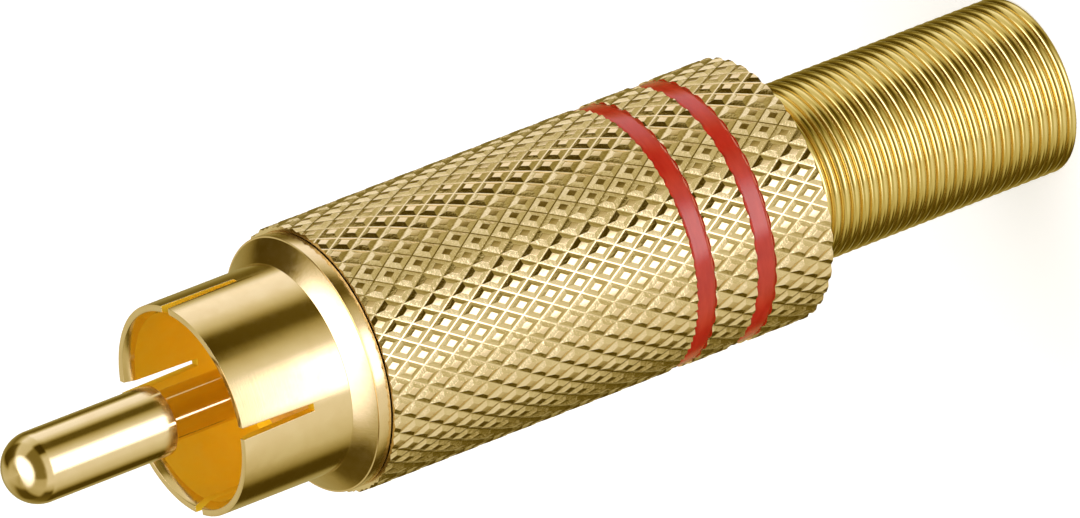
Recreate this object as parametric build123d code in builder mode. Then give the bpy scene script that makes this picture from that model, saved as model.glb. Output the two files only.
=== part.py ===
import os
from math import atan, ceil, cos, degrees, pi, sin

from build123d import *

# Coaxial phono plug standing on the end of its strain relief spring.
# Millimetres. +Z runs along the plug from the spring's end to the pin's tip.

# Centre pin
pin_radius = 1.60
pin_nose_length = 7.85
pin_standoff = 1.20
pin_shoulder_bevel = 0.12
shank_step = 0.45
collar_step = 0.40
collar_thickness = 0.80
tail_step = 0.30
tail_length = 5.10
cup_wall = 0.40
cup_depth = 3.20
cup_opening_length = 2.00
cup_opening_offset = 0.30

# Slotted contact shell with its flange and threaded spigot
socket_gap = 2.67
shell_wall = 0.50
shell_length = 5.55
socket_depth = 5.25
mouth_lead_length = 0.50
mouth_lead_depth = 0.20
rim_edge = 0.06
slot_count = 4
slot_length = 3.67
slot_end_width = 0.34
slot_mouth_width = 0.52
slot_cut_margin = 0.50
flange_step = 1.01
flange_rim_length = 0.62
flange_cone_length = 0.68
flange_cone_depth = 0.93
flange_edge = 0.06
spigot_length = 5.00
spigot_wall = 0.95
spigot_chamfer = 0.25
thread_relief_length = 0.50
thread_relief_depth = 0.20
lip_thickness = 0.60
lip_width = 0.85
crimp_thickness = 0.50
crimp_width = 0.45

# Knurled sleeve, from its rear face forwards
rear_knurl_length = 2.98
band_width = 1.00
middle_knurl_length = 2.17
front_knurl_length = 15.90
sleeve_overhang = 0.15
knurl_count = 40
knurl_pitch = 1.517
knurl_height = 0.10
groove_depth = 0.43
sleeve_wall = 1.03
sleeve_end_wall = 1.20
thread_wall = 0.86
thread_bore_depth = 5.35
bore_edge_chamfer = 0.20

# Enamel bands in the two grooves
band_rise = 0.02

# Strain relief spring
wire_diameter = 0.50
turn_gap = 0.005
spring_reach = 14.50
grind_depth = 0.35
wire_end_bearing = 203
flare_spread = 0.64
flare_length = 2.00

# Insulators
rear_insulator_thickness = 2.40

# Ground lug with its cable clamp
lug_thickness = 0.50
arm_width = 2.40
arm_hole_radius = 0.60
arm_hole_drop = 5.00
clamp_length = 3.50
clamp_drop = 12.90
clamp_gap_width = 3.80

# Insulating liner tube
liner_wall = 0.40

# Clearances
press_clearance = 0.01
spring_clearance = 0.09
flare_clearance = 0.20
thread_clearance = 0.07
liner_clearance = 0.05
tail_clearance = 0.80
arm_clearance = 0.20
seat_gap = 0.05
end_gap = 0.15

# Heights along the plug
sleeve_rear = spring_reach
rear_band_bottom = sleeve_rear + rear_knurl_length
rear_band_top = rear_band_bottom + band_width
front_band_bottom = rear_band_top + middle_knurl_length
front_band_top = front_band_bottom + band_width
sleeve_front = front_band_top + front_knurl_length
flange_rear = sleeve_front + seat_gap
cone_rear = flange_rear + flange_rim_length
cone_front = cone_rear + flange_cone_length
rim_height = cone_front + shell_length
socket_floor = rim_height - socket_depth
lip_rear = socket_floor - lip_thickness
spigot_rear = flange_rear - spigot_length
lug_rear = spigot_rear + crimp_thickness
lug_front = lug_rear + lug_thickness
collar_rear = lug_front + rear_insulator_thickness
collar_front = collar_rear + collar_thickness
pin_shoulder = rim_height + pin_standoff
pin_tip = pin_shoulder + pin_nose_length
tail_rear = lug_rear - tail_length
cup_floor = tail_rear + cup_depth
cavity_floor = sleeve_rear + sleeve_end_wall
thread_bore_floor = sleeve_front - thread_bore_depth

# Radii that follow, from the pin outwards to the knurl
shank_radius = pin_radius - shank_step
collar_radius = pin_radius + collar_step
tail_radius = pin_radius - tail_step
cup_radius = tail_radius - cup_wall
shell_bore_radius = pin_radius + socket_gap
shell_radius = shell_bore_radius + shell_wall
flange_radius = shell_radius + flange_step
cone_base_radius = flange_radius - flange_edge
knurl_root_radius = flange_radius + sleeve_overhang
knurl_crest_radius = knurl_root_radius + knurl_height

# Radii that follow, from the knurl inwards to the clamp
groove_floor_radius = knurl_root_radius - groove_depth
band_radius = knurl_root_radius + band_rise
sleeve_bore_radius = knurl_root_radius - sleeve_wall
thread_bore_radius = knurl_root_radius - thread_wall
spigot_radius = thread_bore_radius - thread_clearance
relief_radius = spigot_radius - thread_relief_depth
rear_bore_radius = spigot_radius - spigot_wall
lip_radius = rear_bore_radius - lip_width
crimp_radius = rear_bore_radius - crimp_width
lug_hole_radius = tail_radius + tail_clearance
clamp_radius = crimp_radius - arm_clearance - lug_thickness
liner_radius = sleeve_bore_radius - liner_clearance
flare_radius = sleeve_bore_radius - flare_clearance
spring_radius = flare_radius - flare_spread
wire_radius = wire_diameter / 2


# Strain relief spring: close-wound wire, ground flat at its end and flared inside the sleeve
turn_pitch = wire_diameter + turn_gap
coil_radius = spring_radius - wire_radius
coil_start = wire_radius - grind_depth
coil_turns = ceil((cavity_floor + wire_radius - coil_start) / turn_pitch)
flare_start = coil_start + coil_turns * turn_pitch
flare_angle = degrees(atan(flare_spread / flare_length))
spring_top = flare_start + flare_length + wire_radius

with BuildPart() as wound_wire:
    with BuildLine():
        coil = Helix(turn_pitch, coil_turns * turn_pitch, coil_radius, center=(0, 0, coil_start))
        Helix(turn_pitch, flare_length, coil_radius, center=(0, 0, flare_start), cone_angle=flare_angle)
    with BuildSketch(Plane(origin=coil @ 0, z_dir=coil % 0)):
        Circle(wire_radius)
    sweep(is_frenet=True, transition=Transition.RIGHT)
    split(bisect_by=Plane.XY, keep=Keep.TOP)

with BuildPart() as strain_relief_spring:
    add(wound_wire.part, rotation=(0, 0, wire_end_bearing))

strain_relief_spring.part.label = "strain_relief_spring"


# Knurled sleeve: raised diamonds between two crossing sets of grooves
def knurl_point(step, row, bottom, row_height):
    """A diamond's crest where step and row have the same parity, a groove crossing elsewhere."""
    radius = knurl_crest_radius if (step + row) % 2 == 0 else knurl_root_radius
    turn = pi * step / knurl_count
    return Vector(radius * cos(turn), radius * sin(turn), bottom + row * row_height)


def knurled_length(bottom, length):
    """A solid length of bar whose surface is covered by whole rows of knurl diamonds."""
    rows = max(1, round(length / (knurl_pitch / 2)))
    row_height = length / rows
    steps = range(2 * knurl_count)
    facets = []
    for row in range(rows):
        for step in steps:
            near = knurl_point(step, row, bottom, row_height)
            next_near = knurl_point(step + 1, row, bottom, row_height)
            far = knurl_point(step, row + 1, bottom, row_height)
            next_far = knurl_point(step + 1, row + 1, bottom, row_height)
            if (step + row) % 2 == 0:
                corners = ((near, next_near, far), (next_near, next_far, far))
            else:
                corners = ((near, next_near, next_far), (near, next_far, far))
            facets += [Face(Wire.make_polygon(three)) for three in corners]
    for row in (0, rows):
        facets.append(Face(Wire.make_polygon([knurl_point(s, row, bottom, row_height) for s in steps])))
    return Solid(Shell(facets))


with BuildPart() as knurled_sleeve:
    for band_bottom in (rear_band_bottom, front_band_bottom):
        with BuildSketch(Plane.XY.offset(band_bottom)):
            Circle(groove_floor_radius)
        extrude(amount=band_width, clean=False)
    add(knurled_length(sleeve_rear, rear_knurl_length), clean=False)
    add(knurled_length(rear_band_top, middle_knurl_length), clean=False)
    add(knurled_length(front_band_top, front_knurl_length), clean=False)
    with BuildSketch(Plane.XZ):
        with BuildLine():
            Polyline(
                (0, sleeve_rear),
                (spring_radius + spring_clearance, sleeve_rear),
                (spring_radius + spring_clearance, cavity_floor),
                (sleeve_bore_radius, cavity_floor),
                (sleeve_bore_radius, thread_bore_floor),
                (thread_bore_radius, thread_bore_floor),
                (thread_bore_radius, sleeve_front - bore_edge_chamfer),
                (thread_bore_radius + bore_edge_chamfer, sleeve_front),
                (0, sleeve_front),
                close=True,
            )
        make_face()
    revolve(axis=Axis.Z, mode=Mode.SUBTRACT, clean=False)

knurled_sleeve.part.label = "knurled_sleeve"


# Enamel bands, filling the grooves to just above the knurl's roots
def band(bottom):
    """One enamel band, a flat ring that fills its groove."""
    with BuildPart() as ring:
        with BuildSketch(Plane.XY.offset(bottom + press_clearance)):
            Circle(band_radius)
            Circle(groove_floor_radius + press_clearance, mode=Mode.SUBTRACT)
        extrude(amount=band_width - 2 * press_clearance)
    return ring.part


with BuildPart() as red_band_rear:
    add(band(rear_band_bottom))

red_band_rear.part.label = "red_band_rear"

with BuildPart() as red_band_front:
    add(band(front_band_bottom))

red_band_front.part.label = "red_band_front"


# Contact shell: slotted cup, conical flange with a plain rim, and spigot for the sleeve's thread
with BuildPart() as contact_shell:
    with BuildSketch(Plane.XZ):
        with BuildLine():
            Polyline(
                (shell_bore_radius, socket_floor),
                (shell_bore_radius, rim_height - mouth_lead_length),
                (shell_bore_radius + mouth_lead_depth, rim_height),
                (shell_radius - rim_edge, rim_height),
                (shell_radius, rim_height - rim_edge),
                (shell_radius, cone_front),
                (shell_radius + flange_cone_depth, cone_rear),
                (cone_base_radius, cone_rear),
                (flange_radius, cone_rear - flange_edge),
                (flange_radius, flange_rear + flange_edge),
                (cone_base_radius, flange_rear),
                (relief_radius, flange_rear),
                (relief_radius, flange_rear - thread_relief_length),
                (spigot_radius, flange_rear - thread_relief_length - thread_relief_depth),
                (spigot_radius, spigot_rear + spigot_chamfer),
                (spigot_radius - spigot_chamfer, spigot_rear),
                (crimp_radius, spigot_rear),
                (crimp_radius, lug_rear),
                (rear_bore_radius, lug_rear),
                (rear_bore_radius, lip_rear),
                (lip_radius, lip_rear),
                (lip_radius, socket_floor),
                close=True,
            )
        make_face()
    revolve(axis=Axis.Z)
    for slot in range(slot_count):
        turn = 2 * pi * slot / slot_count
        outward = Plane(origin=(0, 0, 0), x_dir=(-sin(turn), cos(turn), 0), z_dir=(cos(turn), sin(turn), 0))
        with BuildSketch(outward.offset(shell_bore_radius - slot_cut_margin)):
            with BuildLine():
                Polyline(
                    (-slot_end_width / 2, rim_height - slot_length),
                    (slot_end_width / 2, rim_height - slot_length),
                    (slot_mouth_width / 2, rim_height),
                    (slot_mouth_width / 2, rim_height + slot_cut_margin),
                    (-slot_mouth_width / 2, rim_height + slot_cut_margin),
                    (-slot_mouth_width / 2, rim_height),
                    close=True,
                )
            make_face()
        extrude(amount=shell_wall + 2 * slot_cut_margin, mode=Mode.SUBTRACT)

contact_shell.part.label = "contact_shell"


# Centre pin: round nose, thin shank, locating collar and solder cup
with BuildPart() as centre_pin:
    with BuildSketch(Plane.XZ):
        with BuildLine():
            nose = CenterArc((0, pin_tip - pin_radius), pin_radius, 0, 90)
            Polyline(
                nose @ 0,
                (pin_radius, pin_shoulder + pin_shoulder_bevel),
                (pin_radius - pin_shoulder_bevel, pin_shoulder),
                (shank_radius, pin_shoulder),
                (shank_radius, collar_front),
                (collar_radius, collar_front),
                (collar_radius, collar_rear),
                (tail_radius, collar_rear),
                (tail_radius, tail_rear),
                (cup_radius, tail_rear),
                (cup_radius, cup_floor),
                (0, cup_floor),
                nose @ 1,
            )
        make_face()
    revolve(axis=Axis.Z)
    with BuildSketch(Plane.XY.offset(tail_rear)):
        with Locations((0, -cup_opening_offset)):
            Rectangle(2 * tail_radius, tail_radius, align=(Align.CENTER, Align.MAX))
    extrude(amount=cup_opening_length, mode=Mode.SUBTRACT)

centre_pin.part.label = "centre_pin"


# Insulators: a flanged bush in front of the pin's collar and a thick washer behind it
with BuildPart() as front_insulator:
    with BuildSketch(Plane.XZ):
        with BuildLine():
            Polyline(
                (shank_radius + press_clearance, collar_front + press_clearance),
                (shank_radius + press_clearance, socket_floor),
                (lip_radius - press_clearance, socket_floor),
                (lip_radius - press_clearance, lip_rear - press_clearance),
                (rear_bore_radius - press_clearance, lip_rear - press_clearance),
                (rear_bore_radius - press_clearance, collar_rear + press_clearance),
                (collar_radius + press_clearance, collar_rear + press_clearance),
                (collar_radius + press_clearance, collar_front + press_clearance),
                close=True,
            )
        make_face()
    revolve(axis=Axis.Z)

front_insulator.part.label = "front_insulator"

with BuildPart() as rear_insulator:
    with BuildSketch(Plane.XY.offset(lug_front + press_clearance)):
        Circle(rear_bore_radius - press_clearance)
        Circle(tail_radius + press_clearance, mode=Mode.SUBTRACT)
    extrude(amount=rear_insulator_thickness - 2 * press_clearance)

rear_insulator.part.label = "rear_insulator"


# Ground lug: a washer under the crimped edge, an arm with a solder hole, and open clamp fingers
clamp_rear = lug_rear - clamp_drop

with BuildPart() as ground_lug:
    with BuildSketch(Plane.XY.offset(lug_rear)):
        Circle(rear_bore_radius - press_clearance)
        Circle(lug_hole_radius, mode=Mode.SUBTRACT)
    extrude(amount=lug_thickness)
    with BuildSketch(Plane.XY.offset(clamp_rear)):
        with Locations((0, clamp_radius)):
            Rectangle(arm_width, lug_thickness, align=(Align.CENTER, Align.MIN))
    extrude(amount=clamp_drop + lug_thickness)
    with BuildSketch(Plane.XY.offset(clamp_rear)):
        Circle(clamp_radius + lug_thickness)
        Circle(clamp_radius, mode=Mode.SUBTRACT)
        Rectangle(clamp_gap_width, 2 * clamp_radius, align=(Align.CENTER, Align.MAX), mode=Mode.SUBTRACT)
    extrude(amount=clamp_length)
    with BuildSketch(Plane.XZ.offset(-clamp_radius)):
        with Locations((0, lug_rear - arm_hole_drop)):
            Circle(arm_hole_radius)
    extrude(amount=-lug_thickness, mode=Mode.SUBTRACT)

ground_lug.part.label = "ground_lug"


# Insulating liner tube between the sleeve and the soldered joints
liner_rear = spring_top + end_gap
liner_front = min(spigot_rear, thread_bore_floor) - end_gap

with BuildPart() as insulating_liner:
    with BuildSketch(Plane.XY.offset(liner_rear)):
        Circle(liner_radius)
        Circle(liner_radius - liner_wall, mode=Mode.SUBTRACT)
    extrude(amount=liner_front - liner_rear)

insulating_liner.part.label = "insulating_liner"


os.makedirs("parts", exist_ok=True)
export_step(strain_relief_spring.part, "parts/strain_relief_spring.step")
export_step(knurled_sleeve.part, "parts/knurled_sleeve.step")
export_step(red_band_rear.part, "parts/red_band_rear.step")
export_step(red_band_front.part, "parts/red_band_front.step")
export_step(contact_shell.part, "parts/contact_shell.step")
export_step(centre_pin.part, "parts/centre_pin.step")
export_step(front_insulator.part, "parts/front_insulator.step")
export_step(rear_insulator.part, "parts/rear_insulator.step")
export_step(ground_lug.part, "parts/ground_lug.step")
export_step(insulating_liner.part, "parts/insulating_liner.step")
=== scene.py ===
import math

import bmesh
import bpy
from mathutils import Matrix, Vector


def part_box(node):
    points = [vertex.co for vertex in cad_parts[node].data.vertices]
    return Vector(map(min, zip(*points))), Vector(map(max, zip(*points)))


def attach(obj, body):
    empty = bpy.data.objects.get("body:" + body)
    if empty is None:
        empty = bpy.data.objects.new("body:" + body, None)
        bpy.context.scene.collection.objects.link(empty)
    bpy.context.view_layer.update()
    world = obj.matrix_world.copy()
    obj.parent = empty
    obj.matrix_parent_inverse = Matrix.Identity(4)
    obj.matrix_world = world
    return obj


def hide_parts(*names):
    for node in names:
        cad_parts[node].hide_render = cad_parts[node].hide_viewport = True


# Gold-plated phono plug with a knurled sleeve, red bands and a coil spring strain relief.
# Pieces are shaped at one unit to the millimetre and brought to metres when they are finished.

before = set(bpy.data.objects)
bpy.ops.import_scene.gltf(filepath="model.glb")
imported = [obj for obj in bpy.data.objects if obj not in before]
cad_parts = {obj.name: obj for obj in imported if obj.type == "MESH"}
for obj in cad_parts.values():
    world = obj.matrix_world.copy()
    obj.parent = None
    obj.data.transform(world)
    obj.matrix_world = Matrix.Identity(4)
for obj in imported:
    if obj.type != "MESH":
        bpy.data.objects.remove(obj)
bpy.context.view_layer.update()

METRES = 0.001
MM = 1 / METRES

# Camera
CAMERA_AZIMUTH = math.radians(23.3)
CAMERA_ELEVATION = math.radians(29.09)
CAMERA_ROLL = math.radians(-111.19)
CAMERA_DISTANCE = 1.0293
CAMERA_TARGET = Vector((-0.0002, 0.00047, 0.02549))
LENS = 797.7
SENSOR_WIDTH = 36

# Corners of the solids' boxes, in millimetres
sleeve_low, sleeve_high = (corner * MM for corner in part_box("knurled_sleeve"))
rear_band_low, rear_band_high = (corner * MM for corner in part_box("red_band_rear"))
front_band_low, front_band_high = (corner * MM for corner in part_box("red_band_front"))
shell_low, shell_high = (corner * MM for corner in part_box("contact_shell"))
pin_low, pin_high = (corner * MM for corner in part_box("centre_pin"))
band_spans = ((rear_band_low.z, rear_band_high.z), (front_band_low.z, front_band_high.z))
sleeve_edges = (sleeve_low.z, *band_spans[0], *band_spans[1], sleeve_high.z)

# Turned shapes
ROUND_STEPS = 192
WELD = 0.0002
CUT_CLOSENESS = 0.00001

# Knurled sleeve: a diamond's steps go from its outline inwards, each a width and a rise.
# Level faces within DIAMOND_TOP of the crest get their own finish, and those outside GROOVE_LINE
# get a paler gold, a painted highlight on the groove lines.
CELLS_ROUND = 40
CELL_PITCH = 1.517
SPARE_ROWS = 2
DIAMOND_STEPS = (
    (0.028, 0.001),
    (0.018, 0.005),
    (0.184, 0.083),
    (0.018, 0.005),
    (0.014, 0.001),
)
KNURL_HEIGHT = 0.0955
DIAMOND_TOP = 0.006
GROOVE_LINE = 0.002
LEVEL_ENOUGH = math.cos(math.radians(10))
KNURL_WELD = 0.002
EDGE_CLOSENESS = 0.001
DIAMOND_FINISH = 1
# The groove lines' finish is a painted highlight: a paler gold in place of the bright lines their
# rounded floors reflect.
GROOVE_PAINTED_HIGHLIGHT_FINISH = 2
GROOVE_FLOOR = 5.50
BAND_CROWN = 0.02
SLEEVE_HOLE = 4.15
SLEEVE_BORE = 4.90
SLEEVE_WALL_END = 1.20
THREAD_BORE = 5.07
THREAD_DEPTH = 5.35
THREAD_EDGE = 0.20
root_radius = sleeve_high.x - KNURL_HEIGHT
cell_width = 2 * math.pi * root_radius / CELLS_ROUND

# Contact shell
SHELL_RADIUS = 4.77
SHELL_BORE = 4.27
SHELL_LENGTH = 5.55
SOCKET_DEPTH = 5.25
MOUTH_LEAD_LENGTH = 0.50
MOUTH_LEAD_DEPTH = 0.20
FLANGE_RIM = 0.62
CONE_LENGTH = 0.68
CONE_FOOT = 5.70
SLOT_LENGTH = 3.67
SLOT_END_WIDTH = 0.34
SLOT_MOUTH_WIDTH = 0.52
CUTTER_DEPTH = 2
CUTTER_SPARE = 1
SHELL_BEVEL = 0.05
BEVEL_SEGMENTS = 3
BEVEL_ANGLE = math.radians(35)
SPIGOT_RADIUS = 5.00
THREAD_ROOT = 4.60
THREAD_PITCH = 0.75
THREAD_STEPS = 96
RIDGE_SINK = 0.1
RIDGE_FOOT = 0.92
RIDGE_CREST = 0.14
RELIEF_RADIUS = 4.80
RELIEF_LENGTH = 0.50
LIP_THICKNESS = 0.60
LIP_RADIUS = 3.20
REAR_BORE = 4.05
CRIMP_RADIUS = 3.60
CRIMP_THICKNESS = 0.50
EDGE_ZONE = 0.02
CONE_ZONE = 0.06
FLANGE_FINISH = 1
# The inside of the cup gets painted light: a deeper orange gold in place of light bounced between
# its gold walls.
PAINTED_INTERREFLECTION_FINISH = 2
lead_rear = shell_high.z - MOUTH_LEAD_LENGTH
socket_floor = shell_high.z - SOCKET_DEPTH
lip_rear = socket_floor - LIP_THICKNESS
cone_front = shell_high.z - SHELL_LENGTH
cone_rear = cone_front - CONE_LENGTH
flange_rear = cone_rear - FLANGE_RIM
relief_rear = flange_rear - RELIEF_LENGTH
lug_rear = shell_low.z + CRIMP_THICKNESS

# Centre pin
PIN_RADIUS = 1.60
PIN_NOSE = 7.85
PIN_EDGE = 0.12
NOSE_STEPS = 24
SHANK_RADIUS = 1.15
COLLAR_RADIUS = 2.00
COLLAR_THICKNESS = 0.80
TAIL_RADIUS = 1.30
TAIL_LENGTH = 5.10
CUP_RADIUS = 0.90
CUP_DEPTH = 3.20
LUG_THICKNESS = 0.50
REAR_INSULATOR = 2.40

# Spring
WIRE_RADIUS = 0.25
WIRE_SIDES = 16
COIL_PITCH = 0.505
COIL_RADIUS = 3.81
COIL_START = -0.10
WIRE_END_BEARING = 203
COIL_TURNS = 32
FLARE_TURNS = 4
FLARE_GROWTH = 1.17
FLARE_STEPS = 24
TURN_STEPS = 72


# Helpers for shaping
def start_fresh():
    """Leaves nothing selected, so that the next operator acts on the new piece alone."""
    bpy.ops.object.select_all(action="DESELECT")


def pick(piece, kind, wanted):
    """Selects the faces, edges or vertices of a piece in edit mode whose test says so."""
    mesh = bmesh.from_edit_mesh(piece.data)
    for group in (mesh.verts, mesh.edges, mesh.faces):
        for element in group:
            element.select = False
    for element in getattr(mesh, kind):
        if wanted(element):
            element.select_set(True)
    bmesh.update_edit_mesh(piece.data)


def apply_modifier(piece, kind, **settings):
    """Adds a modifier with these settings and applies it."""
    modifier = piece.modifiers.new(kind.title(), kind)
    for name, value in settings.items():
        setattr(modifier, name, value)
    bpy.context.view_layer.objects.active = piece
    bpy.ops.object.modifier_apply(modifier=modifier.name)


def lathe(name, outline, closed=True):
    """Draws an outline of (radius, height) points and spins it about the plug's axis."""
    start_fresh()
    bpy.ops.mesh.primitive_plane_add(size=0.1)
    piece = bpy.context.object
    piece.name = name
    bpy.ops.object.mode_set(mode="EDIT")
    bpy.ops.mesh.select_mode(type="VERT")
    bpy.ops.mesh.merge(type="CENTER")
    bpy.ops.transform.translate(value=(outline[0][0], 0, outline[0][1]))
    stops = outline[1:] + outline[:1] if closed else outline[1:]
    here = outline[0]
    for stop in stops:
        move = (stop[0] - here[0], 0, stop[1] - here[1])
        bpy.ops.mesh.extrude_vertices_move(TRANSFORM_OT_translate={"value": move})
        here = stop
    bpy.ops.mesh.select_all(action="SELECT")
    bpy.ops.mesh.remove_doubles(threshold=WELD)
    bpy.ops.mesh.select_all(action="SELECT")
    bpy.ops.mesh.spin(steps=ROUND_STEPS, angle=2 * math.pi, center=(0, 0, 0), axis=(0, 0, 1))
    bpy.ops.mesh.select_all(action="SELECT")
    bpy.ops.mesh.remove_doubles(threshold=WELD)
    bpy.ops.mesh.select_all(action="SELECT")
    bpy.ops.mesh.normals_make_consistent(inside=False)
    bpy.ops.object.mode_set(mode="OBJECT")
    return piece


def join(piece, *others):
    """Joins other objects into a piece."""
    start_fresh()
    for part in (piece, *others):
        part.select_set(True)
    bpy.context.view_layer.objects.active = piece
    bpy.ops.object.join()
    return piece


def finish_piece(piece, body, slot, *materials, replaces, smooth_angle=30):
    """Brings a piece to metres, smooths it and hands it to its body with its finishes."""
    start_fresh()
    piece.select_set(True)
    bpy.context.view_layer.objects.active = piece
    piece.scale = (METRES, METRES, METRES)
    bpy.ops.object.transform_apply(location=True, rotation=True, scale=True)
    bpy.ops.object.shade_smooth_by_angle(angle=math.radians(smooth_angle))
    for material in materials:
        piece.data.materials.append(material)
    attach(piece, body)
    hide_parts(*replaces)


# Helpers for finishes: the scale of a noise is in waves to the metre on each axis
TONE_WAVES = (900, 900, 900)
GLOSS_WAVES = (2600, 2600, 2600)
GRAIN_WAVES = (14000, 14000, 14000)
NOISE_START = 0.3
NOISE_END = 0.7
RAMP_START = 0.35
RAMP_END = 0.65


def node_tree(name):
    """A new material with its node tree and its Principled shader."""
    material = bpy.data.materials.new(name)
    material.use_nodes = True
    return material, material.node_tree, material.node_tree.nodes["Principled BSDF"]


def place_texture(tree, scale):
    """Object coordinates stretched by a scale on each axis."""
    coordinates = tree.nodes.new("ShaderNodeTexCoord")
    mapping = tree.nodes.new("ShaderNodeMapping")
    mapping.inputs["Scale"].default_value = scale
    tree.links.new(coordinates.outputs["Object"], mapping.inputs["Vector"])
    return mapping.outputs["Vector"]


def noise(tree, scale, detail=3, roughness=0.5):
    """A noise over a piece, stretched by the scale."""
    texture = tree.nodes.new("ShaderNodeTexNoise")
    texture.inputs["Scale"].default_value = 1
    texture.inputs["Detail"].default_value = detail
    texture.inputs["Roughness"].default_value = roughness
    tree.links.new(place_texture(tree, scale), texture.inputs["Vector"])
    return texture.outputs["Fac"]


def spread(tree, value, low, high):
    """Maps the middle of a noise to the range from low to high."""
    ranged = tree.nodes.new("ShaderNodeMapRange")
    ranged.inputs["From Min"].default_value = NOISE_START
    ranged.inputs["From Max"].default_value = NOISE_END
    ranged.inputs["To Min"].default_value = low
    ranged.inputs["To Max"].default_value = high
    tree.links.new(value, ranged.inputs["Value"])
    return ranged.outputs["Result"]


def blend_colours(tree, value, first, second):
    """A colour between two, by a value."""
    ramp = tree.nodes.new("ShaderNodeValToRGB")
    ramp.color_ramp.elements[0].position = RAMP_START
    ramp.color_ramp.elements[0].color = (*first, 1)
    ramp.color_ramp.elements[1].position = RAMP_END
    ramp.color_ramp.elements[1].color = (*second, 1)
    tree.links.new(value, ramp.inputs["Fac"])
    return ramp.outputs["Color"]


def add_bump(tree, shader, *layers):
    """Stacks bumps on a shader, each a height and a depth in metres."""
    normal = None
    for height, depth in layers:
        bump = tree.nodes.new("ShaderNodeBump")
        bump.inputs["Strength"].default_value = 1
        bump.inputs["Distance"].default_value = depth
        tree.links.new(height, bump.inputs["Height"])
        if normal:
            tree.links.new(normal, bump.inputs["Normal"])
        normal = bump.outputs["Normal"]
    tree.links.new(normal, shader.inputs["Normal"])


def gold(name, pale, deep, gloss, marks, grain):
    """Gold plate: two close tones, uneven gloss, tool marks and a fine grain, depths in metres."""
    material, tree, shader = node_tree(name)
    shader.inputs["Metallic"].default_value = 1
    tone = noise(tree, TONE_WAVES, detail=2)
    tree.links.new(blend_colours(tree, tone, pale, deep), shader.inputs["Base Color"])
    patches = noise(tree, GLOSS_WAVES, detail=4)
    tree.links.new(spread(tree, patches, *gloss), shader.inputs["Roughness"])
    mark_scale, mark_depth = marks
    lines = noise(tree, mark_scale, detail=4, roughness=0.6)
    fine = noise(tree, GRAIN_WAVES, detail=2)
    add_bump(tree, shader, (lines, mark_depth), (fine, grain))
    return material


def enamel(name):
    """Glossy red enamel with a slightly uneven coat."""
    material, tree, shader = node_tree(name)
    shader.inputs["Roughness"].default_value = 0.14
    shader.inputs["IOR"].default_value = 1.62
    tone = noise(tree, (700, 700, 2500), detail=3)
    coat = blend_colours(tree, tone, (0.60, 0.022, 0.010), (0.68, 0.034, 0.016))
    tree.links.new(coat, shader.inputs["Base Color"])
    ripple = noise(tree, (1100, 1100, 1600), detail=2)
    add_bump(tree, shader, (ripple, 0.000006))
    return material


def plastic(name, pale, deep, rough):
    """Matte moulded plastic with a faint mottle and grain."""
    material, tree, shader = node_tree(name)
    shader.inputs["Roughness"].default_value = rough
    tone = noise(tree, (1200, 1200, 1200), detail=3)
    tree.links.new(blend_colours(tree, tone, pale, deep), shader.inputs["Base Color"])
    grain = noise(tree, (9000, 9000, 9000), detail=3)
    add_bump(tree, shader, (grain, 0.000004))
    return material


shell_gold = gold(
    "shell_gold",
    pale=(0.94, 0.74, 0.44),
    deep=(0.91, 0.70, 0.40),
    gloss=(0.10, 0.17),
    marks=((250, 250, 26000), 0.0000008),
    grain=0.0000004,
)
flange_gold = gold(
    "flange_gold",
    pale=(0.94, 0.73, 0.44),
    deep=(0.91, 0.69, 0.40),
    gloss=(0.14, 0.22),
    marks=((5200, 5200, 1500), 0.000002),
    grain=0.0000006,
)
pin_gold = gold(
    "pin_gold",
    pale=(0.94, 0.75, 0.46),
    deep=(0.91, 0.71, 0.42),
    gloss=(0.09, 0.15),
    marks=((260, 260, 22000), 0.0000007),
    grain=0.0000004,
)
diamond_gold = gold(
    "diamond_gold",
    pale=(0.94, 0.74, 0.47),
    deep=(0.92, 0.71, 0.42),
    gloss=(0.15, 0.27),
    marks=((5000, 5000, 7000), 0.000003),
    grain=0.0000015,
)
facet_gold = gold(
    "facet_gold",
    pale=(0.97, 0.79, 0.51),
    deep=(0.90, 0.72, 0.43),
    gloss=(0.12, 0.20),
    marks=((5500, 5500, 5500), 0.000014),
    grain=0.000003,
)
# Painted highlight: a paler, near-white gold that stands in for the bright lines reflected by the
# grooves' rounded floors.
groove_painted_highlight_gold = gold(
    "groove_painted_highlight_gold",
    pale=(1.00, 0.91, 0.70),
    deep=(0.98, 0.87, 0.64),
    gloss=(0.33, 0.43),
    marks=((5000, 5000, 5000), 0.00001),
    grain=0.000004,
)
spring_gold = gold(
    "spring_gold",
    pale=(0.94, 0.76, 0.34),
    deep=(0.91, 0.71, 0.28),
    gloss=(0.12, 0.20),
    marks=((1500, 1500, 900), 0.000002),
    grain=0.000001,
)
# Painted reflection: a deep orange copy of the gold that stands in for light bounced between the
# cup's inner walls.
painted_interreflection_gold = gold(
    "painted_interreflection_gold",
    pale=(1.00, 0.76, 0.07),
    deep=(1.00, 0.74, 0.05),
    gloss=(0.64, 0.74),
    marks=((250, 250, 12000), 0.000001),
    grain=0.0000005,
)
lug_gold = gold(
    "lug_gold",
    pale=(0.92, 0.70, 0.32),
    deep=(0.88, 0.66, 0.28),
    gloss=(0.22, 0.34),
    marks=((1800, 1800, 6000), 0.000003),
    grain=0.000002,
)
red_enamel = enamel("red_enamel")
amber_plastic = plastic("amber_plastic", (0.76, 0.42, 0.10), (0.66, 0.34, 0.07), 0.40)
liner_plastic = plastic("liner_plastic", (0.78, 0.80, 0.80), (0.72, 0.74, 0.74), 0.40)


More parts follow.
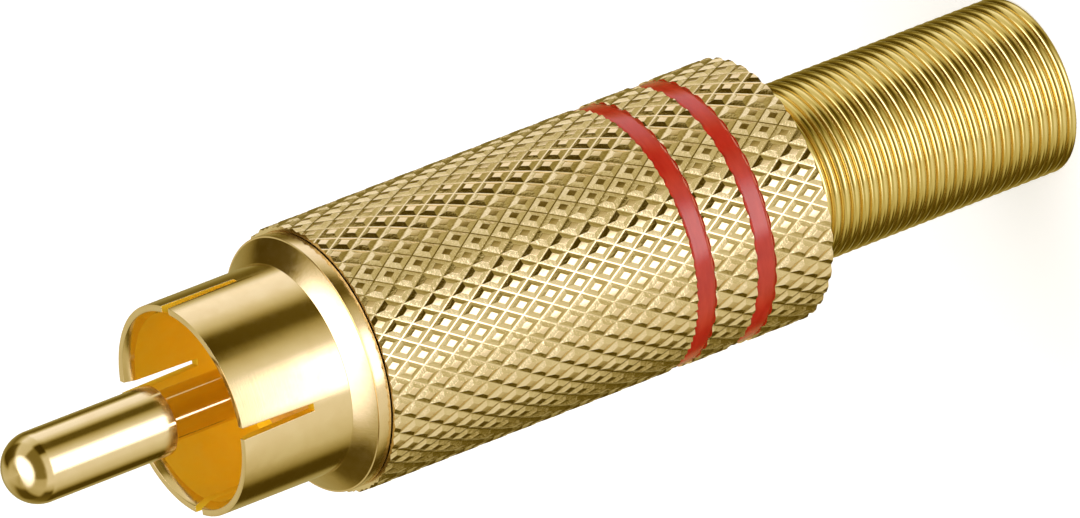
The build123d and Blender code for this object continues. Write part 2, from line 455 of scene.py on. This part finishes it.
# Knurled sleeve
def knurl_cell():
    """One raised diamond with a flat top, half of its rounded grooves round it, facing up."""
    start_fresh()
    bpy.ops.mesh.primitive_circle_add(vertices=4, radius=1, fill_type="NGON")
    piece = bpy.context.object
    bpy.ops.object.mode_set(mode="EDIT")
    bpy.ops.mesh.select_mode(type="FACE")
    bpy.ops.mesh.select_all(action="SELECT")
    bpy.ops.transform.resize(value=(cell_width / 2, CELL_PITCH / 2, 1))
    for inset, rise in DIAMOND_STEPS:
        bpy.ops.mesh.inset(thickness=inset, depth=rise)
    bpy.ops.mesh.poke()
    bpy.ops.object.mode_set(mode="OBJECT")
    return piece


def knurl_tube():
    """The diamonds repeated over a sheet, which is then bent round into a tube."""
    piece = knurl_cell()
    piece.name = "sleeve_knurl"
    piece.rotation_euler = (math.pi / 2, 0, 0)
    start_fresh()
    piece.select_set(True)
    bpy.context.view_layer.objects.active = piece
    bpy.ops.object.transform_apply(location=False, rotation=True, scale=False)
    rows = math.ceil((sleeve_high.z - sleeve_low.z) / CELL_PITCH) + SPARE_ROWS
    copies = (
        (2, (cell_width / 2, 0, CELL_PITCH / 2)),
        (CELLS_ROUND, (cell_width, 0, 0)),
        (rows, (0, 0, CELL_PITCH)),
    )
    for count, offset in copies:
        apply_modifier(
            piece,
            "ARRAY",
            count=count,
            use_relative_offset=False,
            use_constant_offset=True,
            constant_offset_displace=offset,
        )
    turn = 2 * math.pi * (CELLS_ROUND + 0.5) / CELLS_ROUND
    apply_modifier(piece, "SIMPLE_DEFORM", deform_method="BEND", deform_axis="Z", angle=turn)
    bpy.ops.object.mode_set(mode="EDIT")
    bpy.ops.mesh.select_all(action="SELECT")
    bpy.ops.transform.translate(value=(0, -root_radius, sleeve_low.z - CELL_PITCH))
    bpy.ops.mesh.remove_doubles(threshold=KNURL_WELD)
    for height in sleeve_edges:
        bpy.ops.mesh.select_all(action="SELECT")
        bpy.ops.mesh.bisect(
            plane_co=(0, 0, height),
            plane_no=(0, 0, 1),
            clear_inner=height == sleeve_low.z,
            clear_outer=height == sleeve_high.z,
            threshold=CUT_CLOSENESS,
        )
    bpy.ops.mesh.select_mode(type="FACE")
    for low, high in band_spans:
        pick(piece, "faces", lambda face: low < face.calc_center_median().z < high)
        bpy.ops.mesh.delete(type="FACE")
    bpy.ops.object.mode_set(mode="OBJECT")
    return piece


def bridge_rings(piece, height):
    """Closes the gap between the two open rings at a height."""
    pick(
        piece,
        "edges",
        lambda edge: edge.is_boundary
        and all(abs(vert.co.z - height) < EDGE_CLOSENESS for vert in edge.verts),
    )
    bpy.ops.mesh.bridge_edge_loops()


def sleeve_finishes(piece):
    """Gives the diamonds' flat tops their own finish, and the level lines of the grooves a paler
    gold that paints their bright highlight.
    """
    for face in piece.data.polygons:
        outward = Vector((face.center.x, face.center.y, 0))
        radius = outward.length * MM
        if face.normal.dot(outward.normalized()) < LEVEL_ENOUGH:
            continue
        if radius > sleeve_high.x - DIAMOND_TOP:
            face.material_index = DIAMOND_FINISH
        elif radius > root_radius - GROOVE_LINE:
            face.material_index = GROOVE_PAINTED_HIGHLIGHT_FINISH


def knurled_sleeve():
    """The knurled tube closed by its end faces, its bores and the floors of the band grooves."""
    bores = lathe(
        "sleeve_bores",
        [
            (THREAD_BORE + THREAD_EDGE, sleeve_high.z),
            (THREAD_BORE, sleeve_high.z - THREAD_EDGE),
            (THREAD_BORE, sleeve_high.z - THREAD_DEPTH),
            (SLEEVE_BORE, sleeve_high.z - THREAD_DEPTH),
            (SLEEVE_BORE, sleeve_low.z + SLEEVE_WALL_END),
            (SLEEVE_HOLE, sleeve_low.z + SLEEVE_WALL_END),
            (SLEEVE_HOLE, sleeve_low.z),
        ],
        closed=False,
    )
    floors = [
        lathe("groove_floor", [(GROOVE_FLOOR, low), (GROOVE_FLOOR, high)], closed=False)
        for low, high in band_spans
    ]
    piece = join(knurl_tube(), bores, *floors)
    bpy.ops.object.mode_set(mode="EDIT")
    bpy.ops.mesh.select_mode(type="EDGE")
    for height in sleeve_edges:
        bridge_rings(piece, height)
    bpy.ops.mesh.select_all(action="SELECT")
    bpy.ops.mesh.normals_make_consistent(inside=False)
    bpy.ops.object.mode_set(mode="OBJECT")
    finish_piece(
        piece,
        "sleeve",
        "sleeve_gold",
        facet_gold,
        diamond_gold,
        groove_painted_highlight_gold,
        replaces=("knurled_sleeve",),
        smooth_angle=8,
    )
    sleeve_finishes(piece)


knurled_sleeve()


# Enamel bands
def enamel_band(name, node, low, high):
    """A ring with softly rounded edges that fills its groove."""
    ring = lathe(
        name,
        [
            (GROOVE_FLOOR, low.z),
            (high.x - 2 * BAND_CROWN, low.z),
            (high.x - BAND_CROWN / 2, low.z + 2 * BAND_CROWN),
            (high.x, low.z + 8 * BAND_CROWN),
            (high.x, high.z - 8 * BAND_CROWN),
            (high.x - BAND_CROWN / 2, high.z - 2 * BAND_CROWN),
            (high.x - 2 * BAND_CROWN, high.z),
            (GROOVE_FLOOR, high.z),
        ],
    )
    finish_piece(ring, "sleeve", "red_enamel", red_enamel, replaces=(node,), smooth_angle=50)


enamel_band("enamel_band_rear", "red_band_rear", rear_band_low, rear_band_high)
enamel_band("enamel_band_front", "red_band_front", front_band_low, front_band_high)


# Contact shell
def slot_cutter():
    """Wedges at the four slots, wider at the mouth."""
    cutters = []
    for quarter in range(4):
        start_fresh()
        bpy.ops.mesh.primitive_cube_add(size=1, location=(0, 0, 0))
        cutter = bpy.context.object
        length = SLOT_LENGTH + CUTTER_SPARE
        bpy.ops.object.mode_set(mode="EDIT")
        bpy.ops.transform.resize(value=(CUTTER_DEPTH, SLOT_END_WIDTH, length))
        bpy.ops.mesh.select_mode(type="VERT")
        pick(cutter, "verts", lambda vert: vert.co.z > 0)
        widening = 1 + (SLOT_MOUTH_WIDTH / SLOT_END_WIDTH - 1) * length / SLOT_LENGTH
        bpy.ops.transform.resize(value=(1, widening, 1))
        bpy.ops.mesh.select_all(action="SELECT")
        foot = shell_high.z - SLOT_LENGTH
        bpy.ops.transform.translate(value=((SHELL_RADIUS + SHELL_BORE) / 2, 0, foot + length / 2))
        bpy.ops.object.mode_set(mode="OBJECT")
        cutter.rotation_euler = (0, 0, quarter * math.pi / 2)
        bpy.ops.object.transform_apply(location=False, rotation=True, scale=False)
        cutters.append(cutter)
    return join(*cutters)


def spigot_thread(low, high):
    """The thread's ridge, wound round the spigot's core."""
    start_fresh()
    bpy.ops.mesh.primitive_plane_add(size=1)
    ridge = bpy.context.object
    ridge.name = "spigot_thread"
    bpy.ops.object.mode_set(mode="EDIT")
    depth = SPIGOT_RADIUS - THREAD_ROOT + RIDGE_SINK
    bpy.ops.transform.resize(value=(depth, THREAD_PITCH * RIDGE_FOOT, 1))
    bpy.ops.mesh.select_mode(type="VERT")
    pick(ridge, "verts", lambda vert: vert.co.x > 0)
    bpy.ops.transform.resize(value=(1, RIDGE_CREST, 1))
    bpy.ops.mesh.select_all(action="SELECT")
    bpy.ops.mesh.delete(type="ONLY_FACE")
    bpy.ops.object.mode_set(mode="OBJECT")
    ridge.rotation_euler = (math.pi / 2, 0, 0)
    ridge.location = ((SPIGOT_RADIUS + THREAD_ROOT - RIDGE_SINK) / 2, 0, low)
    bpy.ops.object.transform_apply(location=True, rotation=True, scale=False)
    turns = math.floor((high - low) / THREAD_PITCH)
    apply_modifier(
        ridge,
        "SCREW",
        axis="Z",
        angle=2 * math.pi,
        screw_offset=THREAD_PITCH,
        iterations=turns,
        steps=THREAD_STEPS,
        render_steps=THREAD_STEPS,
    )
    return ridge


def shell_body():
    """The cup, the cone with its plain rim, and the core of the spigot, as one turned part."""
    return lathe(
        "plug_shell",
        [
            (SHELL_BORE, socket_floor),
            (SHELL_BORE, lead_rear),
            (SHELL_BORE + MOUTH_LEAD_DEPTH, shell_high.z),
            (SHELL_RADIUS, shell_high.z),
            (SHELL_RADIUS, cone_front),
            (CONE_FOOT, cone_rear),
            (shell_high.x, cone_rear),
            (shell_high.x, flange_rear),
            (RELIEF_RADIUS, flange_rear),
            (RELIEF_RADIUS, relief_rear),
            (THREAD_ROOT, relief_rear - (RELIEF_RADIUS - THREAD_ROOT)),
            (THREAD_ROOT, shell_low.z),
            (CRIMP_RADIUS, shell_low.z),
            (CRIMP_RADIUS, lug_rear),
            (REAR_BORE, lug_rear),
            (REAR_BORE, lip_rear),
            (LIP_RADIUS, lip_rear),
            (LIP_RADIUS, socket_floor),
        ],
    )


def shell_finishes(piece):
    """Gives the flange with the spigot its own finish, and the inside of the cup a deep orange
    gold, a painted reflection of light bounced between its walls.
    """
    for face in piece.data.polygons:
        radius = math.hypot(face.center.x, face.center.y) * MM
        height = face.center.z * MM
        inward = face.normal.x * face.center.x + face.normal.y * face.center.y <= 0
        bore = radius < SHELL_BORE + EDGE_ZONE
        slot_side = inward and radius < SHELL_RADIUS - EDGE_ZONE and height < lead_rear
        if height < cone_front - CONE_ZONE:
            face.material_index = FLANGE_FINISH
        elif bore or slot_side:
            face.material_index = PAINTED_INTERREFLECTION_FINISH


def contact_shell():
    """The slotted cup, its conical flange with a plain rim, and the spigot with its thread."""
    piece = shell_body()
    cutter = slot_cutter()
    apply_modifier(piece, "BOOLEAN", operation="DIFFERENCE", object=cutter, solver="EXACT")
    bpy.data.objects.remove(cutter)
    apply_modifier(
        piece,
        "BEVEL",
        width=SHELL_BEVEL,
        segments=BEVEL_SEGMENTS,
        limit_method="ANGLE",
        angle_limit=BEVEL_ANGLE,
        use_clamp_overlap=True,
    )
    join(piece, spigot_thread(shell_low.z + THREAD_PITCH / 2, relief_rear))
    finish_piece(
        piece,
        "contacts",
        "contact_gold",
        shell_gold,
        flange_gold,
        painted_interreflection_gold,
        replaces=("contact_shell",),
    )
    shell_finishes(piece)


contact_shell()


# Centre pin
def centre_pin():
    """Round nose, thin shank, collar and solder cup."""
    tip = pin_high.z
    shoulder = tip - PIN_NOSE
    tail = pin_low.z
    collar_rear = tail + TAIL_LENGTH + LUG_THICKNESS + REAR_INSULATOR
    nose = [
        (PIN_RADIUS * math.sin(turn), tip - PIN_RADIUS + PIN_RADIUS * math.cos(turn))
        for turn in (math.pi / 2 * step / NOSE_STEPS for step in range(NOSE_STEPS + 1))
    ]
    piece = lathe(
        "plug_pin",
        nose
        + [
            (PIN_RADIUS, shoulder + PIN_EDGE),
            (PIN_RADIUS - PIN_EDGE, shoulder),
            (SHANK_RADIUS, shoulder),
            (SHANK_RADIUS, collar_rear + COLLAR_THICKNESS),
            (COLLAR_RADIUS, collar_rear + COLLAR_THICKNESS),
            (COLLAR_RADIUS, collar_rear),
            (TAIL_RADIUS, collar_rear),
            (TAIL_RADIUS, tail),
            (CUP_RADIUS, tail),
            (CUP_RADIUS, tail + CUP_DEPTH),
            (0, tail + CUP_DEPTH),
        ],
        closed=False,
    )
    finish_piece(
        piece,
        "contacts",
        "contact_gold",
        pin_gold,
        replaces=("centre_pin",),
        smooth_angle=25,
    )


centre_pin()


# Strain relief spring
def wound_wire():
    """The wire's round section, screwed up along the axis in all its turns."""
    start_fresh()
    bpy.ops.mesh.primitive_circle_add(vertices=WIRE_SIDES, radius=WIRE_RADIUS)
    wire = bpy.context.object
    wire.name = "plug_spring"
    wire.rotation_euler = (math.pi / 2, 0, 0)
    wire.location = (COIL_RADIUS, 0, COIL_START)
    bpy.ops.object.transform_apply(location=True, rotation=True, scale=False)
    apply_modifier(
        wire,
        "SCREW",
        axis="Z",
        angle=2 * math.pi,
        screw_offset=COIL_PITCH,
        iterations=COIL_TURNS + FLARE_TURNS,
        steps=TURN_STEPS,
        render_steps=TURN_STEPS,
    )
    return wire


def flare_end(wire):
    """Widens the last turns little by little, in edit mode."""
    bpy.ops.mesh.select_mode(type="VERT")
    flare_start = COIL_START + COIL_TURNS * COIL_PITCH
    growth = FLARE_GROWTH ** (1 / FLARE_STEPS)
    for step in range(FLARE_STEPS):
        level = flare_start + FLARE_TURNS * COIL_PITCH * step / FLARE_STEPS
        pick(wire, "verts", lambda vert: vert.co.z > level)
        bpy.ops.transform.resize(value=(growth, growth, 1), center_override=(0, 0, 0))


def grind_foot(wire):
    """Cuts the foot flat at the ground and closes the cut, in edit mode."""
    bpy.ops.mesh.bisect(
        plane_co=(0, 0, 0),
        plane_no=(0, 0, 1),
        clear_inner=True,
        use_fill=True,
        threshold=CUT_CLOSENESS,
    )
    bpy.ops.mesh.select_mode(type="EDGE")
    pick(wire, "edges", lambda edge: edge.is_boundary)
    bpy.ops.mesh.edge_face_add()


def strain_relief_spring():
    """Close-wound wire, ground flat at the foot and flared inside the sleeve."""
    wire = wound_wire()
    bpy.ops.object.mode_set(mode="EDIT")
    flare_end(wire)
    bpy.ops.mesh.select_all(action="SELECT")
    bpy.ops.transform.rotate(
        value=-math.radians(WIRE_END_BEARING), orient_axis="Z", center_override=(0, 0, 0)
    )
    grind_foot(wire)
    bpy.ops.mesh.select_all(action="SELECT")
    bpy.ops.mesh.normals_make_consistent(inside=False)
    bpy.ops.object.mode_set(mode="OBJECT")
    finish_piece(
        wire,
        "spring",
        "spring_gold",
        spring_gold,
        replaces=("strain_relief_spring",),
        smooth_angle=40,
    )


strain_relief_spring()


# Solids that keep their own shape
for node, material in (
    ("front_insulator", amber_plastic),
    ("rear_insulator", amber_plastic),
    ("insulating_liner", liner_plastic),
    ("ground_lug", lug_gold),
):
    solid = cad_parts[node]
    solid.data.materials.clear()
    solid.data.materials.append(material)


# Floor
FLOOR_SIZE = 6
FLOOR_COLOUR = (0.80, 0.80, 0.87, 1)
FLOOR_ROUGHNESS = 0.9
FLOOR_GLOW = 0.45


def white_floor():
    """A white floor that shows the plug's shadow and isn't mirrored in the metal."""
    start_fresh()
    bpy.ops.mesh.primitive_plane_add(size=FLOOR_SIZE)
    floor = bpy.context.object
    floor.name = "floor"
    floor.visible_glossy = False
    material, tree, shader = node_tree("floor_white")
    shader.inputs["Base Color"].default_value = FLOOR_COLOUR
    shader.inputs["Roughness"].default_value = FLOOR_ROUGHNESS
    glow = tree.nodes.new("ShaderNodeEmission")
    glow.inputs["Color"].default_value = (1, 1, 1, 1)
    path = tree.nodes.new("ShaderNodeLightPath")
    lift = tree.nodes.new("ShaderNodeMath")
    lift.operation = "MULTIPLY"
    lift.inputs[1].default_value = FLOOR_GLOW
    tree.links.new(path.outputs["Is Camera Ray"], lift.inputs[0])
    tree.links.new(lift.outputs["Value"], glow.inputs["Strength"])
    both = tree.nodes.new("ShaderNodeAddShader")
    tree.links.new(shader.outputs["BSDF"], both.inputs[0])
    tree.links.new(glow.outputs["Emission"], both.inputs[1])
    tree.links.new(both.outputs["Shader"], tree.nodes["Material Output"].inputs["Surface"])
    floor.data.materials.append(material)


white_floor()


# Studio light: a tent with softboxes and dark gaps, whose dim parts are warm.
# A ramp gives brightness by bearing in degrees from the camera's side.
# STEEP is the lowest ramp, and each of RISES takes over between two heights in degrees.
TENT_STRENGTH = 3.2
WARMTH = (1.0, 1.15, 2.1)
STEEP = (
    (-180, 0.34),
    (-136, 0.13),
    (-110, 0.15),
    (-90, 0.52),
    (-66, 0.70),
    (0, 0.58),
    (34, 0.45),
    (50, 0.22),
    (70, 0.40),
    (100, 0.62),
    (120, 0.54),
    (138, 0.24),
    (180, 0.32),
)
BELOW = (
    (-180, 0.34),
    (-160, 0.42),
    (-144, 0.34),
    (-136, 0.07),
    (-112, 0.07),
    (-102, 0.34),
    (-88, 0.60),
    (-60, 0.80),
    (-42, 0.85),
    (-32, 3.0),
    (-2, 3.0),
    (12, 0.85),
    (24, 0.62),
    (34, 0.40),
    (42, 0.11),
    (58, 0.11),
    (70, 0.60),
    (85, 0.95),
    (108, 1.10),
    (118, 0.45),
    (126, 0.12),
    (140, 0.16),
    (152, 0.34),
    (180, 0.34),
)
GLANCING = (
    (-180, 0.45),
    (-144, 0.28),
    (-132, 0.16),
    (-96, 0.07),
    (-84, 0.50),
    (-62, 0.80),
    (-10, 0.80),
    (16, 0.72),
    (27, 0.45),
    (33, 0.05),
    (60, 0.05),
    (70, 0.60),
    (104, 0.90),
    (116, 0.48),
    (130, 0.15),
    (150, 0.24),
    (180, 0.45),
)
LEVEL = (
    (-180, 0.62),
    (-158, 0.40),
    (-146, 0.10),
    (-118, 0.08),
    (-106, 0.45),
    (-82, 0.55),
    (-50, 0.50),
    (-42, 0.22),
    (56, 0.20),
    (64, 0.62),
    (100, 0.70),
    (112, 0.10),
    (150, 0.06),
    (162, 0.50),
    (180, 0.62),
)
ABOVE = (
    (-180, 0.62),
    (-130, 0.40),
    (-108, 0.55),
    (-86, 1.4),
    (-30, 3.0),
    (84, 3.0),
    (104, 1.0),
    (120, 0.45),
    (150, 0.55),
    (180, 0.62),
)
RISES = (
    (BELOW, -42, -36),
    (GLANCING, -18, -12),
    (LEVEL, 2, 12),
    (ABOVE, 38, 56),
)


def brightness_by_bearing(tree, bearing, stops):
    """A ramp of brightness round the horizon."""
    ramp = tree.nodes.new("ShaderNodeValToRGB")
    while len(ramp.color_ramp.elements) < len(stops):
        ramp.color_ramp.elements.new(0.5)
    for element, (degrees, level) in zip(ramp.color_ramp.elements, stops):
        element.position = (degrees + 180) / 360
        share = level / TENT_STRENGTH
        element.color = (share, share, share, 1)
    tree.links.new(bearing, ramp.inputs["Fac"])
    return ramp.outputs["Color"]


def calculate(tree, operation, first, second):
    """The result of a Math node for two values, each a number or a node's output."""
    node = tree.nodes.new("ShaderNodeMath")
    node.operation = operation
    for socket, value in zip(node.inputs, (first, second)):
        if isinstance(value, (int, float)):
            socket.default_value = value
        else:
            tree.links.new(value, socket)
    return node.outputs["Value"]


def warm_light(tree, share):
    """Light that is white where the tent is bright and warmer where it is dim."""
    level = calculate(tree, "MULTIPLY", share, TENT_STRENGTH)
    dim = calculate(tree, "MINIMUM", level, 1)
    bright = calculate(tree, "MAXIMUM", level, 1)
    light = tree.nodes.new("ShaderNodeCombineColor")
    for channel, exponent in zip(("Red", "Green", "Blue"), WARMTH):
        filtered = calculate(tree, "POWER", dim, exponent)
        tree.links.new(calculate(tree, "MULTIPLY", filtered, bright), light.inputs[channel])
    return light.outputs["Color"]


def progress(tree, value, start, end, interpolation="LINEAR"):
    """How far a value has come from start to end, between 0 and 1."""
    ranged = tree.nodes.new("ShaderNodeMapRange")
    ranged.interpolation_type = interpolation
    ranged.inputs["From Min"].default_value = start
    ranged.inputs["From Max"].default_value = end
    tree.links.new(value, ranged.inputs["Value"])
    return ranged.outputs["Result"]


def tent_direction(tree):
    """The share of the way round the tent from the camera's side, and the height in it."""
    coordinates = tree.nodes.new("ShaderNodeTexCoord")
    turned = tree.nodes.new("ShaderNodeMapping")
    turned.inputs["Rotation"].default_value = (0, 0, -CAMERA_AZIMUTH)
    tree.links.new(coordinates.outputs["Generated"], turned.inputs["Vector"])
    parts = tree.nodes.new("ShaderNodeSeparateXYZ")
    tree.links.new(turned.outputs["Vector"], parts.inputs["Vector"])
    bearing = calculate(tree, "ARCTAN2", parts.outputs["Y"], parts.outputs["X"])
    return progress(tree, bearing, -math.pi, math.pi), parts.outputs["Z"]


def tent_brightness(tree):
    """The ramps, blended from one to the next by height."""
    share, height = tent_direction(tree)
    colour = brightness_by_bearing(tree, share, STEEP)
    for stops, start, end in RISES:
        low = math.sin(math.radians(start))
        high = math.sin(math.radians(end))
        mix = tree.nodes.new("ShaderNodeMix")
        mix.data_type = "RGBA"
        tree.links.new(progress(tree, height, low, high, "SMOOTHSTEP"), mix.inputs["Factor"])
        tree.links.new(colour, mix.inputs["A"])
        tree.links.new(brightness_by_bearing(tree, share, stops), mix.inputs["B"])
        colour = mix.outputs["Result"]
    return colour


def studio_world():
    """White to the camera, and the lit tent to everything else."""
    world = bpy.data.worlds.new("studio")
    bpy.context.scene.world = world
    world.use_nodes = True
    tree = world.node_tree
    tent = tree.nodes["Background"]
    tent.inputs["Strength"].default_value = 1
    tree.links.new(warm_light(tree, tent_brightness(tree)), tent.inputs["Color"])
    backdrop = tree.nodes.new("ShaderNodeBackground")
    backdrop.inputs["Color"].default_value = (1, 1, 1, 1)
    backdrop.inputs["Strength"].default_value = 1
    path = tree.nodes.new("ShaderNodeLightPath")
    choice = tree.nodes.new("ShaderNodeMixShader")
    tree.links.new(path.outputs["Is Camera Ray"], choice.inputs["Fac"])
    tree.links.new(tent.outputs["Background"], choice.inputs[1])
    tree.links.new(backdrop.outputs["Background"], choice.inputs[2])
    tree.links.new(choice.outputs["Shader"], tree.nodes["World Output"].inputs["Surface"])


studio_world()


# Camera
def photo_camera():
    """The camera on the photograph's side, rolled so that the plug lies across the picture."""
    data = bpy.data.cameras.new("camera")
    data.lens = LENS
    data.sensor_width = SENSOR_WIDTH
    data.clip_start = 0.01
    camera = bpy.data.objects.new("camera", data)
    bpy.context.scene.collection.objects.link(camera)
    outward = Vector(
        (
            math.cos(CAMERA_AZIMUTH) * math.cos(CAMERA_ELEVATION),
            math.sin(CAMERA_AZIMUTH) * math.cos(CAMERA_ELEVATION),
            math.sin(CAMERA_ELEVATION),
        )
    )
    aim = outward.to_track_quat("Z", "Y").to_matrix().to_4x4()
    place = Matrix.Translation(CAMERA_TARGET + CAMERA_DISTANCE * outward)
    camera.matrix_world = place @ aim @ Matrix.Rotation(CAMERA_ROLL, 4, "Z")
    bpy.context.scene.camera = camera


photo_camera()
bpy.context.scene.view_settings.view_transform = "Standard"
